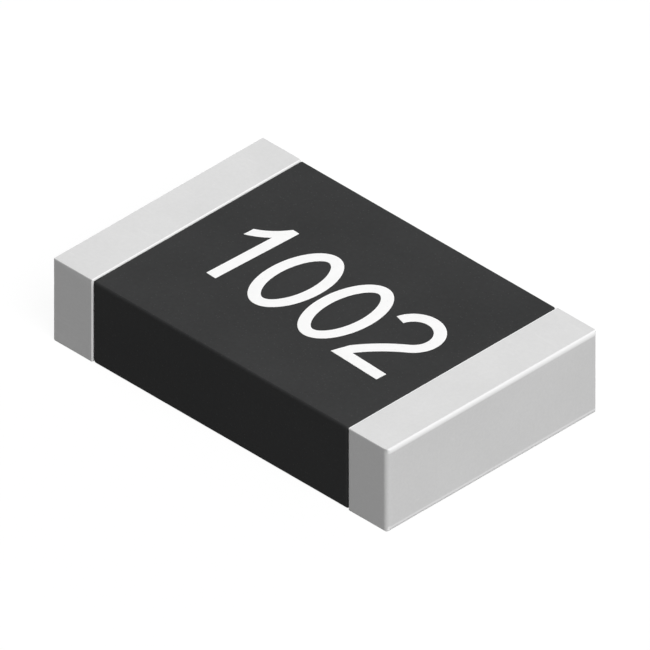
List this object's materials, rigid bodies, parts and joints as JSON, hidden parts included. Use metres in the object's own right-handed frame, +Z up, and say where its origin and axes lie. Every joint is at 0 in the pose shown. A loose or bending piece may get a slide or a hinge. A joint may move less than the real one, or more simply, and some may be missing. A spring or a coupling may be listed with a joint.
{
  "type": "smd chip resistor",
  "caption": "Flat rectangular surface-mount resistor: black resin overcoat between bright wrapped metal ends, with a trimmed resistive film on a ceramic slab inside.",
  "frame": {"origin": "centre of the underside, on the plane of the circuit board", "axes": "+X along the chip from one wrapped end to the other, +Z up from the board"},
  "size_m": [0.0032, 0.002, 0.0007],
  "materials": {
    "ceramic": "white fired alumina, unglazed",
    "silver": "printed and fired silver, dull",
    "resistive_film": "fired metal oxide and glass, dark and matt",
    "glass_coat": "fired sealing glass, smooth",
    "overcoat": "black resin, satin",
    "edge_metal": "silver-filled resin, dull",
    "nickel": "plated nickel, satin",
    "tin": "plated tin, matt and bright grey",
    "marking_ink": "white printing ink, matt"
  },
  "bodies": {
    "root": {"substrate": "ceramic", "top_electrode_left": "silver", "top_electrode_right": "silver", "back_electrode_left": "silver", "back_electrode_right": "silver", "resistive_film": "resistive_film", "glass_coat": "glass_coat", "overcoat": "overcoat", "edge_terminal_left": "edge_metal", "edge_terminal_right": "edge_metal", "nickel_barrier_left": "nickel", "nickel_barrier_right": "nickel", "tin_plating_left": "tin", "tin_plating_right": "tin"}
  },
  "joints": []
}
